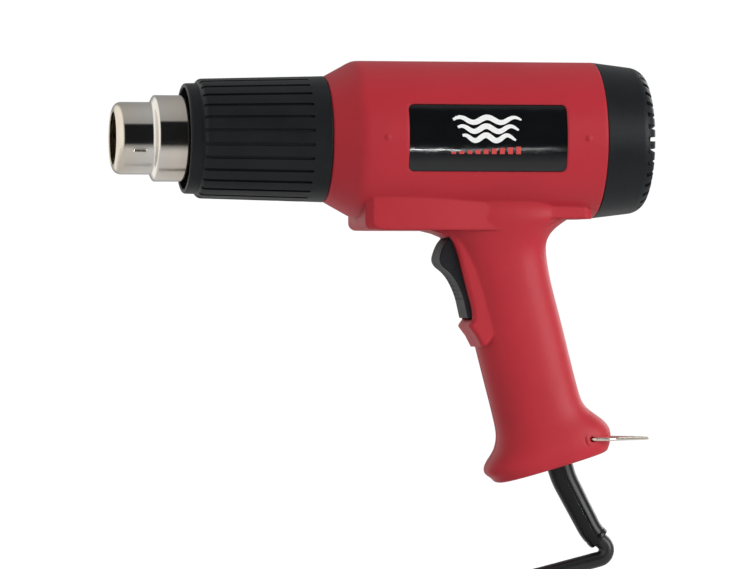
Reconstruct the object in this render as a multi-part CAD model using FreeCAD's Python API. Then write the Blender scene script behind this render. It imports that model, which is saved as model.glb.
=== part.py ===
# Hot-air gun: two-shell pistol body, stepped outlet tube, mica heater, motor and fan,
# three-position rocker switch, hanging loop, bend-relief boot, cord and plug.
# Millimetres. Origin at the centre of the outlet mouth, +X to the rear, +Z up, -Y is the operator's left.
import FreeCAD, Part
import math, os
from FreeCAD import Vector as V

os.makedirs("parts", exist_ok=True)

# ---------------- driving dimensions ----------------
MOUTH_R = 12.5
TUBE_FRONT_R = 17.1
TUBE_REAR_R = 20.4
TUBE_WALL = 0.8
TUBE_STEP_X = (17.0, 20.0)
TUBE_END_X = 107.5

SLEEVE_FRONT_X = 33.6
SLEEVE_RIM_R = 26.1
SLEEVE_R = (28.3, 29.9)
SLEEVE_STEP_X = (39.7, 41.6)
SLEEVE_REAR_X = 100.4
SLEEVE_BORE_R = 24.0
RIB_COUNT = 28
RIB_GROOVE_W = 1.5
RIB_GROOVE_D = 1.1
RIB_GROOVE_X = (38.0, 92.0)

BODY_FRONT_X = 100.6
BODY_FRONT_R = 29.9
BODY_SHOULDER_X = 114.7
BODY_R = 37.3
BODY_REAR_X = 231.0
WALL = 2.4
SPLIT_GAP = 0.05

KEEL_FRONT_X = 117.0
KEEL_BOTTOM_Z = -43.2
PAD_BOTTOM_Z = -37.7
PAD_END_X = 227.4

LABEL_X = (135.2, 211.2)
LABEL_HALF_H = 15.8
LABEL_DEPTH = 0.9
PLATE_T = 0.5

CAP_EDGE_X = 250.2
CAP_REAR_X = 255.5
CAP_R = (37.2, 34.9, 29.5)
CAP_SLOTS = 36
CAP_SLOT_W = 2.1
CAP_SLOT_D = 4.3

PIVOT = (168.5, -68.0)          # rocker axle, x and z
ROCKER_TILT_DEG = 16.2          # lean of the switch opening
ROCKER_HALF_W = 10.4
OPENING_HALF_W = 10.75
AXLE_R = 1.5

HANG_X, HANG_Z = 228.0, -142.5
HANG_HOLE_R = 1.25
HANG_WIRE_R = 0.8
HANG_LENGTH = 30.8

SCREWS = [(122.5, 31.0, 10.0), (218.5, 30.5, 10.0), (124.0, -36.0, 10.0), (219.0, -30.5, 10.0),
          (203.2, -55.5, 6.0), (188.0, -113.0, 6.0), (192.0, -150.0, 6.0)]

CORD_R = 3.8
BOOT_R = 6.0
PIN_R, PIN_LEN, PIN_PITCH = 2.4, 19.0, 19.0

# handle sections, bottom to top: front point, rear point (x, z), half width, exponent
HANDLE = [
    ((183.9, -164.0), (238.2, -148.2), 17.4, 2.7),
    ((180.2, -159.6), (239.8, -142.2), 18.8, 2.7),
    ((179.4, -156.6), (239.6, -138.4), 18.9, 2.7),
    ((181.7, -151.8), (235.9, -133.2), 18.2, 2.6),
    ((184.2, -147.2), (229.8, -128.8), 17.4, 2.5),
    ((185.1, -141.6), (226.2, -124.6), 17.0, 2.4),
    ((184.2, -135.3), (224.2, -119.2), 16.9, 2.35),
    ((180.3, -119.9), (220.4, -104.7), 16.9, 2.3),
    ((176.4, -104.7), (216.6, -89.5), 17.0, 2.3),
    ((172.9, -91.0), (212.9, -75.6), 17.1, 2.3),
    ((169.6, -78.0), (210.1, -64.2), 17.3, 2.3),
    ((166.4, -66.0), (208.6, -54.8), 17.8, 2.3),
    ((163.3, -56.5), (208.7, -48.4), 18.8, 2.35),
    ((160.0, -49.5), (211.0, -43.9), 20.2, 2.4),
    ((156.0, -44.5), (214.8, -40.4), 21.6, 2.5),
    ((150.0, -38.0), (220.5, -36.6), 22.6, 2.6),
    ((143.0, -28.0), (224.5, -30.0), 23.6, 2.6),
]

# ---------------- helpers ----------------
def out(name, shape):
    shape = shape.removeSplitter() if shape.ShapeType in ("Solid", "Compound") else shape
    shape.exportStep("parts/%s.step" % name)

def cyl(r, p, d, h):
    return Part.makeCylinder(r, h, V(*p), V(*d))

def xcyl(r, x0, x1, y=0.0, z=0.0):
    return Part.makeCylinder(r, x1 - x0, V(x0, y, z), V(1, 0, 0))

def box(x0, x1, y0, y1, z0, z1):
    return Part.makeBox(x1 - x0, y1 - y0, z1 - z0, V(x0, y0, z0))

def bez(*pts):
    c = Part.BezierCurve()
    c.setPoles([V(p[0], 0, p[1]) for p in pts])
    return c.toShape()

def seg(a, b):
    return Part.makeLine(V(a[0], 0, a[1]), V(b[0], 0, b[1]))

def chain(pts):
    return [seg(pts[i], pts[i + 1]) for i in range(len(pts) - 1)]

def revolve(edges):
    w = Part.Wire(Part.__sortEdges__(edges))
    s = Part.Face(w).revolve(V(0, 0, 0), V(1, 0, 0), 360)
    if s.Volume < 0:
        s.reverse()
    return s

def rev_poly(pts):
    return revolve(chain(list(pts) + [pts[0]]))

def ring(r0, r1, x0, x1):
    return xcyl(r1, x0, x1).cut(xcyl(r0, x0 - 1, x1 + 1))

def turned(shape, deg, n_axis=V(1, 0, 0), at=V(0, 0, 0)):
    s = shape.copy()
    s.rotate(at, n_axis, deg)
    return s

def prism_y(pts, y0, y1):
    f = Part.Face(Part.makePolygon([V(p[0], y0, p[1]) for p in list(pts) + [pts[0]]]))
    return f.extrude(V(0, y1 - y0, 0))

def prism_curve(edges, y0, y1):
    w = Part.Wire(Part.__sortEdges__(edges))
    f = Part.Face(w)
    f.translate(V(0, y0, 0))
    return f.extrude(V(0, y1 - y0, 0))

def spline_pts(pts):
    b = Part.BSplineCurve()
    b.interpolate([V(*p) for p in pts])
    return b.toShape()

def route(points, r, bends):
    """Round bar along straight runs, each corner turned on a true arc of the given bend radius."""
    p = [V(*q) for q in points]
    solids, cur = [], p[0]
    for i in range(1, len(p)):
        d0 = p[i].sub(p[i - 1]).normalize()
        end = p[i]
        if i < len(p) - 1:
            b = bends[i - 1] if isinstance(bends, (list, tuple)) else bends
            d1 = p[i + 1].sub(p[i]).normalize()
            turn = math.acos(max(-1.0, min(1.0, d0.dot(d1))))
            tl = b * math.tan(turn / 2.0)
            end = p[i].sub(V(d0).multiply(tl))
        ln = end.sub(cur)
        solids.append(Part.makeCylinder(r, ln.Length, cur, ln))
        if i < len(p) - 1:
            side = d1.sub(V(d0).multiply(d0.dot(d1))).normalize()
            centre = end.add(V(side).multiply(b))
            disc = Part.Face(Part.Wire([Part.makeCircle(r, end, d0)]))
            solids.append(disc.revolve(centre, d0.cross(d1).normalize(), math.degrees(turn)))
            cur = p[i].add(V(d1).multiply(tl))
    for q in solids:
        if q.Volume < 0:
            q.reverse()
    return solids[0].multiFuse(solids[1:])

def ell_wire(F, R, hw, n, count=28):
    cx, cz = (F[0] + R[0]) / 2.0, (F[1] + R[1]) / 2.0
    a = math.hypot(R[0] - F[0], R[1] - F[1]) / 2.0
    dx, dz = (R[0] - F[0]) / (2 * a), (R[1] - F[1]) / (2 * a)
    pts = []
    for i in range(count):
        t = 2 * math.pi * i / count
        c, s = math.cos(t), math.sin(t)
        u = a * math.copysign(abs(c) ** (2.0 / n), c)
        y = hw * math.copysign(abs(s) ** (2.0 / n), s)
        pts.append(V(cx + dx * u, y, cz + dz * u))
    b = Part.BSplineCurve()
    b.interpolate(Points=pts, PeriodicFlag=True)
    return Part.Wire([b.toShape()])

def inset(F, R, d0, d1):
    a = math.hypot(R[0] - F[0], R[1] - F[1])
    dx, dz = (R[0] - F[0]) / a, (R[1] - F[1]) / a
    return (F[0] + dx * d0, F[1] + dz * d0), (R[0] - dx * d1, R[1] - dz * d1)

def local(u, w):
    t = math.radians(ROCKER_TILT_DEG)
    return (PIVOT[0] + u * math.cos(t) - w * math.sin(t), PIVOT[1] + u * math.sin(t) + w * math.cos(t))

def try_fillet(shape, r, pick):
    es = [e for e in shape.Edges if pick(e)]
    if not es:
        return shape
    try:
        s = shape.makeFillet(r, es)
        if s.isValid() and len(s.Solids) == len(shape.Solids) and s.Volume > 0.8 * shape.Volume:
            return s
    except Exception:
        pass
    return shape

# ---------------- outlet tube ----------------
t = TUBE_WALL
tube = revolve([
    seg((0.25, MOUTH_R), (0.0, MOUTH_R + 0.3)),
    bez((0.0, MOUTH_R + 0.3), (0.0, 15.4), (1.5, TUBE_FRONT_R), (4.2, TUBE_FRONT_R)),
    seg((4.2, TUBE_FRONT_R), (TUBE_STEP_X[0], TUBE_FRONT_R)),
    bez((TUBE_STEP_X[0], TUBE_FRONT_R), (18.6, TUBE_FRONT_R), (18.4, TUBE_REAR_R), (TUBE_STEP_X[1], TUBE_REAR_R)),
    seg((TUBE_STEP_X[1], TUBE_REAR_R), (TUBE_END_X - 3, TUBE_REAR_R)),
    bez((TUBE_END_X - 3, TUBE_REAR_R), (TUBE_END_X - 1, TUBE_REAR_R), (TUBE_END_X - 1, TUBE_REAR_R), (TUBE_END_X - 1, TUBE_REAR_R + 2)),
    seg((TUBE_END_X - 1, TUBE_REAR_R + 2), (TUBE_END_X - 1, 27.0)),
    seg((TUBE_END_X - 1, 27.0), (TUBE_END_X, 27.0)),
    seg((TUBE_END_X, 27.0), (TUBE_END_X, TUBE_REAR_R - t)),
    seg((TUBE_END_X, TUBE_REAR_R - t), (TUBE_STEP_X[1] + 0.3, TUBE_REAR_R - t)),
    bez((TUBE_STEP_X[1] + 0.3, TUBE_REAR_R - t), (19.0, TUBE_REAR_R - t), (19.0, TUBE_FRONT_R - t), (TUBE_STEP_X[0] + 0.2, TUBE_FRONT_R - t)),
    seg((TUBE_STEP_X[0] + 0.2, TUBE_FRONT_R - t), (4.4, TUBE_FRONT_R - t)),
    bez((4.4, TUBE_FRONT_R - t), (2.2, TUBE_FRONT_R - t), (0.9, 15.0), (0.9, MOUTH_R)),
    seg((0.9, MOUTH_R), (0.25, MOUTH_R)),
])
# pressed dimples, one on each side
for sy in (-1, 1):
    dz = -6.2 * (-sy)
    ang = math.atan2(dz, sy * TUBE_FRONT_R)
    cy, cz = math.cos(ang), math.sin(ang)
    def capsule(r, rad):
        a = xcyl(r, 8.5, 13.5, cy * rad, cz * rad)
        for xx in (8.5, 13.5):
            a = a.fuse(Part.makeSphere(r, V(xx, cy * rad, cz * rad)))
        return a
    tube = tube.fuse(capsule(1.35, TUBE_FRONT_R + 0.2).common(xcyl(TUBE_FRONT_R - 0.1, 0, 30))).cut(capsule(0.95, TUBE_FRONT_R + 0.1))
screw_ang = [90, 210, 330]
for a in screw_ang:
    y, z = 24.4 * math.cos(math.radians(a)), 24.4 * math.sin(math.radians(a))
    tube = tube.cut(xcyl(1.5, TUBE_END_X - 2, TUBE_END_X + 1, y, z))
out("nozzle_tube", tube)

# ---------------- ribbed front sleeve ----------------
sleeve = revolve([
    bez((SLEEVE_FRONT_X, 25.0), (SLEEVE_FRONT_X, 25.8), (34.2, SLEEVE_RIM_R), (35.2, SLEEVE_RIM_R)),
    seg((35.2, SLEEVE_RIM_R), (SLEEVE_STEP_X[0] - 0.4, SLEEVE_RIM_R + 0.1)),
    bez((SLEEVE_STEP_X[0] - 0.4, SLEEVE_RIM_R + 0.1), (SLEEVE_STEP_X[0], SLEEVE_RIM_R + 0.1), (39.7, 28.3), (42.4, SLEEVE_R[0] + 0.02)),
    seg((42.4, SLEEVE_R[0] + 0.02), (SLEEVE_REAR_X - 0.4, SLEEVE_R[1])),
    seg((SLEEVE_REAR_X - 0.4, SLEEVE_R[1]), (SLEEVE_REAR_X, SLEEVE_R[1] - 0.3)),
    seg((SLEEVE_REAR_X, SLEEVE_R[1] - 0.3), (SLEEVE_REAR_X, 27.6)),
    seg((SLEEVE_REAR_X, 27.6), (103.0, 27.6)),
    seg((103.0, 27.6), (103.0, 29.4)),
    seg((103.0, 29.4), (105.0, 29.4)),
    seg((105.0, 29.4), (105.0, 25.6)),
    seg((105.0, 25.6), (45.0, 25.6)),
    seg((45.0, 25.6), (43.0, SLEEVE_BORE_R)),
    seg((43.0, SLEEVE_BORE_R), (SLEEVE_FRONT_X + 0.4, SLEEVE_BORE_R)),
    seg((SLEEVE_FRONT_X + 0.4, SLEEVE_BORE_R), (SLEEVE_FRONT_X, 24.4)),
    seg((SLEEVE_FRONT_X, 24.4), (SLEEVE_FRONT_X, 25.0)),
])
slope = math.degrees(math.atan2(SLEEVE_R[1] - SLEEVE_R[0], SLEEVE_REAR_X - 42.4))
gl = RIB_GROOVE_X[1] - RIB_GROOVE_X[0]
gw = RIB_GROOVE_W / 2.0
groove = box(RIB_GROOVE_X[0], RIB_GROOVE_X[1] - gw, -gw, gw, 0, 6).fuse(Part.makeCylinder(gw, 6, V(RIB_GROOVE_X[1] - gw, 0, 0), V(0, 0, 1)))
groove.rotate(V(42.4, 0, 0), V(0, 1, 0), -slope)
groove.translate(V(0, 0, SLEEVE_R[0] - RIB_GROOVE_D))
cutters = [turned(groove, 360.0 * (i + 0.5) / RIB_COUNT) for i in range(RIB_COUNT)]
sleeve = sleeve.cut(Part.makeCompound(cutters))
# six inner stand-off ribs around the hot tube
for i in range(6):
    a = box(60, 98, -0.9, 0.9, 21.2, 26.2)
    sleeve = sleeve.fuse(turned(a, 60 * i))
out("front_sleeve", sleeve)

# ---------------- rear cap ----------------
cap = revolve([
    seg((231.1, 36.9), (231.5, CAP_R[0])),
    seg((231.5, CAP_R[0]), (CAP_EDGE_X - 1.0, CAP_R[1] + 0.12)),
    bez((CAP_EDGE_X - 1.0, CAP_R[1] + 0.12), (CAP_EDGE_X + 1.2, CAP_R[1] - 0.2), (CAP_REAR_X - 1.2, 33.2), (CAP_REAR_X - 0.35, 31.0)),
    bez((CAP_REAR_X - 0.35, 31.0), (CAP_REAR_X, 30.2), (CAP_REAR_X, 29.8), (CAP_REAR_X, CAP_R[2])),
    seg((CAP_REAR_X, CAP_R[2]), (CAP_REAR_X, 15.0)),
    seg((CAP_REAR_X, 15.0), (CAP_REAR_X - 0.8, 14.2)),
    seg((CAP_REAR_X - 0.8, 14.2), (CAP_REAR_X - 0.8, 0)),
    seg((CAP_REAR_X - 0.8, 0), (CAP_REAR_X - 3.2, 0)),
    seg((CAP_REAR_X - 3.2, 0), (CAP_REAR_X - 3.2, 30.5)),
    seg((CAP_REAR_X - 3.2, 30.5), (CAP_EDGE_X - 1.0, 32.4)),
    seg((CAP_EDGE_X - 1.0, 32.4), (225.0, 32.4)),
    seg((225.0, 32.4), (225.0, 34.7)),
    seg((225.0, 34.7), (227.0, 34.7)),
    seg((227.0, 34.7), (227.0, 35.5)),
    seg((227.0, 35.5), (229.0, 35.5)),
    seg((229.0, 35.5), (229.0, 34.7)),
    seg((229.0, 34.7), (231.1, 34.7)),
    seg((231.1, 34.7), (231.1, 36.9)),
])
slot = box(CAP_REAR_X - CAP_SLOT_D, CAP_REAR_X + 2, -CAP_SLOT_W / 2, CAP_SLOT_W / 2, 21.0, 40.0)
slot = slot.fuse(Part.makeCylinder(CAP_SLOT_W / 2, CAP_SLOT_D + 2, V(CAP_REAR_X - CAP_SLOT_D, 0, 21.0), V(1, 0, 0)))
cap = cap.cut(Part.makeCompound([turned(slot, 360.0 * i / CAP_SLOTS) for i in range(CAP_SLOTS)]))
out("rear_cap", cap)

# ---------------- body outer form ----------------
barrel = revolve([
    seg((BODY_FRONT_X, 0), (BODY_FRONT_X, BODY_FRONT_R - 0.3)),
    seg((BODY_FRONT_X, BODY_FRONT_R - 0.3), (BODY_FRONT_X + 0.4, BODY_FRONT_R)),
    seg((BODY_FRONT_X + 0.4, BODY_FRONT_R), (112.0, 35.95)),
    bez((112.0, 35.95), (114.2, 37.1), (115.4, BODY_R), (118.0, BODY_R)),
    seg((118.0, BODY_R), (BODY_REAR_X - 0.4, BODY_R)),
    seg((BODY_REAR_X - 0.4, BODY_R), (BODY_REAR_X, BODY_R - 0.3)),
    seg((BODY_REAR_X, BODY_R - 0.3), (BODY_REAR_X, 0)),
    seg((BODY_REAR_X, 0), (BODY_FRONT_X, 0)),
])
bore = rev_poly([(BODY_FRONT_X - 1, 0), (BODY_FRONT_X - 1, 27.75), (102.9, 27.75), (102.9, 29.5), (105.1, 29.6), (113.0, 33.7),
                 (115.5, 34.9), (226.9, 34.9), (226.9, 35.65), (229.1, 35.65), (229.1, 34.9), (BODY_REAR_X + 1, 34.9), (BODY_REAR_X + 1, 0)])

def plan(d, x0, x1, z0, z1):
    top = [(x0, 22.0 - d), (x0 + 3.2, 25.0 - d), (140, 25.0 - d), (158, 24.0 - d), (176, 22.2 - d), (195, 20.4 - d), (212, 19.6 - d), (x1 - 3.0, 19.2 - d), (x1, 16.5 - d)]
    up = [V(x, y, z0) for x, y in top]
    body = Part.BSplineCurve(); body.interpolate(up[1:-1])
    dn = [V(x, -y, z0) for x, y in top]
    body2 = Part.BSplineCurve(); body2.interpolate(dn[1:-1])
    e = [Part.makeLine(up[0], up[1]), body.toShape(), Part.makeLine(up[-2], up[-1]), Part.makeLine(up[-1], dn[-1]),
         Part.makeLine(dn[-1], dn[-2]), body2.toShape(), Part.makeLine(dn[1], dn[0]), Part.makeLine(dn[0], up[0])]
    return Part.Face(Part.Wire(Part.__sortEdges__(e))).extrude(V(0, 0, z1 - z0))

keel = plan(0.0, KEEL_FRONT_X, PAD_END_X, KEEL_BOTTOM_Z, -15)
# underside rises behind the switch and drops a little ahead of it
under = prism_y([(197, PAD_BOTTOM_Z), (260, PAD_BOTTOM_Z), (260, -60), (197, -60)], -40, 40)
keel = keel.cut(under)
keel = try_fillet(keel, 3.6, lambda e: abs(e.BoundBox.ZMax - KEEL_BOTTOM_Z) < 0.01 and e.BoundBox.XMax < 196.9)
keel = try_fillet(keel, 3.0, lambda e: abs(e.BoundBox.ZMax - PAD_BOTTOM_Z) < 0.01 and e.BoundBox.ZLength < 0.01 and e.BoundBox.XMin > 197.01 and e.BoundBox.XLength > 5)

grip = Part.makeLoft([ell_wire(*s) for s in HANDLE], True, False)
grip = try_fillet(grip, 2.4, lambda e: e.BoundBox.ZMax < -147.5 and e.BoundBox.ZMin < -163.0 and e.BoundBox.XLength > 30)

front_line = [(157.2, -43.2), (159.9, -46.6), (162.1, -50.9), (164.5, -58.9), (166.5, -66.5), (168.6, -74.2), (170.2, -80.5), (170.6, -85.6)]
beak_line = [(170.6, -85.6), (168.5, -88.6), (172.1, -93.3), (174.9, -98.6)]
fl = spline_pts([(p[0], 0, p[1]) for p in front_line])
# the cheeks beside the switch run out in a curve low on the grip
cheek = spline_pts([(174.9, 0, -98.6), (178.8, 0, -96.0), (181.4, 0, -90.0), (182.4, 0, -82.0), (186.0, 0, -62.0), (190.0, 0, -50.0)])
nose = prism_curve([fl] + chain(beak_line) + [cheek] + chain([(190.0, -50.0), (190, -38), (157.2, -38), front_line[0]]), -14.0, 14.0)
nose = try_fillet(nose, 1.2, lambda e: abs(e.BoundBox.XMax - 168.5) < 0.3 and e.BoundBox.YLength > 20)
nose = try_fillet(nose, 2.0, lambda e: e.BoundBox.YLength < 0.01 and e.BoundBox.XMax < 175.2 and abs(abs(e.BoundBox.YMin) - 14.0) < 0.01 and e.BoundBox.ZMax < -38.1)

# ramp of the keel's underside in front of the switch
ramp = prism_y([(146, -42.0), (150.5, KEEL_BOTTOM_Z - 0.2), (155.5, -44.6), (160.2, -46.5), (166, -47), (166, -42)], -13.5, 13.5)

outer = barrel.fuse(keel).fuse(grip).fuse(nose).fuse(ramp)
outer = outer.removeSplitter()

# ---------------- body cavity ----------------
keel_in = plan(WALL, KEEL_FRONT_X + WALL, 196.0, KEEL_BOTTOM_Z + WALL, -10)
inner_sections = []
for (F, R, hw, n) in [
        ((186.4, -160.2), (237.0, -145.0), 17.0, 2.6), ((185.0, -154.0), (233.0, -137.5), 17.0, 2.5),
        ((186.0, -147.6), (229.0, -129.8), 17.0, 2.5)] + HANDLE[5:-2]:
    f2, r2 = inset(F, R, 2.6, 2.6)
    inner_sections.append((f2, r2, hw - 2.6, n))
inner_sections.append(((153.5, -36.5), (214.0, -36.0), 18.6, 2.5))
inner_sections.append(((153.0, -28.0), (214.0, -28.0), 18.6, 2.5))
grip_in = Part.makeLoft([ell_wire(*s) for s in inner_sections], True, False)
cavity = bore.fuse(keel_in).fuse(grip_in)

# swept pocket for the rocker
tilt_line = math.radians(ROCKER_TILT_DEG)
pk_top = cyl(23.4, (PIVOT[0], -OPENING_HALF_W, PIVOT[1]), (0, 1, 0), 2 * OPENING_HALF_W)
pk_bot = cyl(17.7, (PIVOT[0], -OPENING_HALF_W, PIVOT[1]), (0, 1, 0), 2 * OPENING_HALF_W)
half_top = prism_y([local(-60, -3), local(30, -3), local(30, 60), local(-60, 60)], -20, 20)
half_bot = prism_y([local(-60, 2), local(30, 2), local(30, -60), local(-60, -60)], -20, 20)
pocket = pk_top.common(half_top).fuse(pk_bot.common(half_bot))

shell = outer.cut(cavity).cut(pocket)

# label recesses in both sides
def label_block(r0, r1, gap, side, x0=LABEL_X[0], x1=LABEL_X[1], hh=LABEL_HALF_H, corner=2.6):
    b = box(x0 + gap, x1 - gap, min(0, side * 60), max(0, side * 60), -hh + gap, hh - gap)
    b = b.makeFillet(corner - gap, [e for e in b.Edges if e.BoundBox.YLength > 10])
    return b.common(ring(r0, r1, x0 - 5, x1 + 5))
for side in (-1, 1):
    shell = shell.cut(label_block(BODY_R - LABEL_DEPTH, 45.0, 0.0, side))

# shell halves
BIG = 300.0
left = shell.common(box(0, BIG, -60, -SPLIT_GAP, -200, 60))
right = shell.common(box(0, BIG, SPLIT_GAP, 60, -200, 60))
left_zone = outer.common(box(0, BIG, -60, -SPLIT_GAP, -200, 60))
right_zone = outer.common(box(0, BIG, SPLIT_GAP, 60, -200, 60))

# ring ribs that carry the fan housing, bosses, hang boss
for x in (146.0, 180.0):
    r = ring(32.7, 35.4, x, x + 2.0)
    left = left.fuse(r.common(left_zone))
    right = right.fuse(r.common(right_zone))
for (x, z, seat) in SCREWS:
    left = left.fuse(cyl(3.7, (x, -60, z), (0, 1, 0), 60 - SPLIT_GAP).common(left_zone))
    right = right.fuse(cyl(4.3, (x, SPLIT_GAP, z), (0, 1, 0), 60).common(right_zone))
hb = cyl(4.1, (HANG_X, -15.2, HANG_Z), (0, 1, 0), 30.4)
hb = try_fillet(hb, 0.5, lambda e: e.Length > 20 and e.BoundBox.YLength < 0.01)
left = left.fuse(hb.common(box(0, BIG, -60, -SPLIT_GAP, -200, 60)))
right = right.fuse(hb.common(box(0, BIG, SPLIT_GAP, 60, -200, 60)))
# clamp pillars for the cord in the foot (left half)
clampc = (211.8, -141.5)
ax = (math.sin(math.radians(16.2)), 0.0, -math.cos(math.radians(16.2)))
for s in (-1, 1):
    px, pz = clampc[0] + s * 8.6 * math.cos(math.radians(16.2)), clampc[1] + s * 8.6 * math.sin(math.radians(16.2))
    left = left.fuse(cyl(3.0, (px, -60, pz), (0, 1, 0), 60 - 4.2).common(left_zone))
    left = left.cut(cyl(1.2, (px, -12.0, pz), (0, 1, 0), 10))
# switch seats: two ledges on each half
seat_pts = [local(12.6, -23.6), local(27, -23.6), local(27, -18.2), local(12.6, -18.2)]
seat = prism_y(seat_pts, -30, 30)
seat2 = prism_y([local(26.2, 13.0), local(30.5, 13.0), local(30.5, 17.6), local(26.2, 17.6)], -30, 30)
grip_zone = grip.fuse(barrel)
for s in (seat, ):
    left = left.fuse(s.common(box(0, BIG, -60, -4.0, -200, 60)).common(left_zone))
    right = right.fuse(s.common(box(0, BIG, 4.0, 60, -200, 60)).common(right_zone))

hole_h = cyl(HANG_HOLE_R, (HANG_X, -30, HANG_Z), (0, 1, 0), 60)
# a fine ring groove round each end of the hanging hole
for s, half in ((-1, "left"), (1, "right")):
    g = cyl(3.75, (HANG_X, s * 17.2, HANG_Z), (0, s, 0), 6).cut(cyl(3.3, (HANG_X, s * 17.0, HANG_Z), (0, s, 0), 8))
    if half == "left":
        left = left.cut(g)
    else:
        right = right.cut(g)
# the cord's line: straight down the grip, a slow bend through the boot, a tight turn, then away under the grip
CORD_TOP = (209.8, 0, -134.6)
KNEE_1, KNEE_2, KNEE_3 = (217.56, 0, -161.3), (231.6, 0, -187.8), (244.0, 0, -198.2)
CORD_LINE = [CORD_TOP, KNEE_1, KNEE_2, KNEE_3, (200.0, 0, -209.2), (160.0, 0, -214.0), (112.0, 0, -214.0)]
CORD_BENDS = [40.0, 20.0, 4.6, 60.0, 120.0]
BOOT_TOP = (213.56, 0, -147.54)
BOOT_END = (235.2, 0, -190.82)
BOOT_LINE = [BOOT_TOP, KNEE_1, KNEE_2, BOOT_END]
BOOT_BENDS = [40.0, 20.0]
grip_dir = V(KNEE_1[0] - CORD_TOP[0], 0, KNEE_1[2] - CORD_TOP[2]).normalize()
boot_hole = route(BOOT_LINE, BOOT_R + 0.15, BOOT_BENDS)
boot_hole = boot_hole.fuse(Part.makeCylinder(8.8, 3.0, V(*BOOT_TOP).sub(V(grip_dir).multiply(0.2)), grip_dir))
boot_hole = boot_hole.fuse(Part.makeCylinder(BOOT_R + 0.15, 4.4, V(*BOOT_TOP).sub(V(grip_dir).multiply(4)), grip_dir))
for_left = [hole_h, boot_hole]
left = left.cut(hole_h).cut(boot_hole)
right = right.cut(hole_h).cut(boot_hole)
for (x, z, seat_y) in SCREWS:
    left = left.cut(cyl(1.5, (x, -11.2, z), (0, 1, 0), 12))
    right = right.cut(cyl(1.8, (x, -1, z), (0, 1, 0), 60)).cut(cyl(3.3, (x, seat_y, z), (0, 1, 0), 60))
for xx in (124.9, 221.5):
    left = left.fuse(Part.makeSphere(1.9, V(xx, -(BODY_R - 1.25), 0)).common(box(0, BIG, -60, -35.5, -20, 20)))
def biggest(s):
    return sorted(s.Solids, key=lambda q: q.Volume)[-1]
left, right = biggest(left), biggest(right)
out("left_housing", left)
out("right_housing", right)

out("label_plate", label_block(BODY_R - LABEL_DEPTH, BODY_R - LABEL_DEPTH + PLATE_T, 0.12, -1))
out("rating_plate", label_block(BODY_R - LABEL_DEPTH, BODY_R - LABEL_DEPTH + PLATE_T, 0.12, 1))

# ---------------- fasteners ----------------
def screw_y(x, z, seat_y, tip_y, head_r=2.9, head_h=2.0, shank_r=1.4):
    s = cyl(shank_r, (x, tip_y + 1.4, z), (0, 1, 0), seat_y - tip_y - 1.4 + 0.01)
    s = s.fuse(Part.makeCone(0.3, shank_r, 1.4, V(x, tip_y, z), V(0, 1, 0)))
    h = cyl(head_r, (x, seat_y, z), (0, 1, 0), head_h)
    h = try_fillet(h, 0.9, lambda e: abs(e.BoundBox.YMin - seat_y - head_h) < 0.01 and e.BoundBox.YLength < 0.01)
    s = s.fuse(h)
    for a in (45, 135):
        b = box(-1.6, 1.6, -0.3, 0.3, 0, 1.2)
        b.rotate(V(0, 0, 0), V(0, 0, 1), a)
        b.rotate(V(0, 0, 0), V(1, 0, 0), -90)
        b.translate(V(x, seat_y + head_h - 1.2 + 0.01, z))
        s = s.cut(b)
    return s
out("housing_screws", Part.makeCompound([screw_y(x, z, s, -10.0) for (x, z, s) in SCREWS]))

def screw_x(y, z, seat_x, tip_x, sign, head_r=2.4, head_h=1.6, shank_r=1.25):
    # head sits at seat_x, shank runs toward tip_x
    d = 1 if tip_x > seat_x else -1
    s = Part.makeCylinder(shank_r, abs(tip_x - seat_x) - 1.0, V(seat_x, y, z), V(d, 0, 0))
    s = s.fuse(Part.makeCone(shank_r, 0.3, 1.0, V(seat_x + d * (abs(tip_x - seat_x) - 1.0), y, z), V(d, 0, 0)))
    h = Part.makeCylinder(head_r, head_h, V(seat_x, y, z), V(-d, 0, 0))
    s = s.fuse(h)
    s = s.cut(box(seat_x - d * head_h - 0.5, seat_x - d * head_h + 0.5, y - head_r, y + head_r, z - 0.3, z + 0.3))
    return s
out("tube_screws", Part.makeCompound([screw_x(24.4 * math.cos(math.radians(a)), 24.4 * math.sin(math.radians(a)), TUBE_END_X - 1, 113.6, 1, 2.2, 1.35) for a in screw_ang]))

# ---------------- heater ----------------
BOARD_R = 13.3
BOARD_TURN = 18.0
BX = (6.0, 99.6)
third = (BX[1] - BX[0]) / 3.0
for k, nm in enumerate(("mica_board_a", "mica_board_b", "mica_board_c")):
    b = box(BX[0], BX[1], -BOARD_R, BOARD_R, -0.3, 0.3)
    s0, s1 = BX[0] + k * third, BX[0] + (k + 1) * third
    if k > 0:
        b = b.cut(box(BX[0] - 1, s0 - 0.05 * 0, -0.62, 0.62, -1, 1))
    if k < 2:
        b = b.cut(box(s1, BX[1] + 1, -0.62, 0.62, -1, 1))
    b = b.cut(box(BX[0] - 1, BX[0] + 3, BOARD_R - 3.5, BOARD_R + 1, -1, 1)).cut(box(BX[0] - 1, BX[0] + 3, -BOARD_R - 1, -BOARD_R + 3.5, -1, 1))
    if k > 0 and k < 2:
        pass
    out(nm, turned(b, BOARD_TURN + 60 * k))
sleeve_m = ring(15.4, 15.8, 5.6, 99.8)
out("mica_sleeve", sleeve_m)

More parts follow.
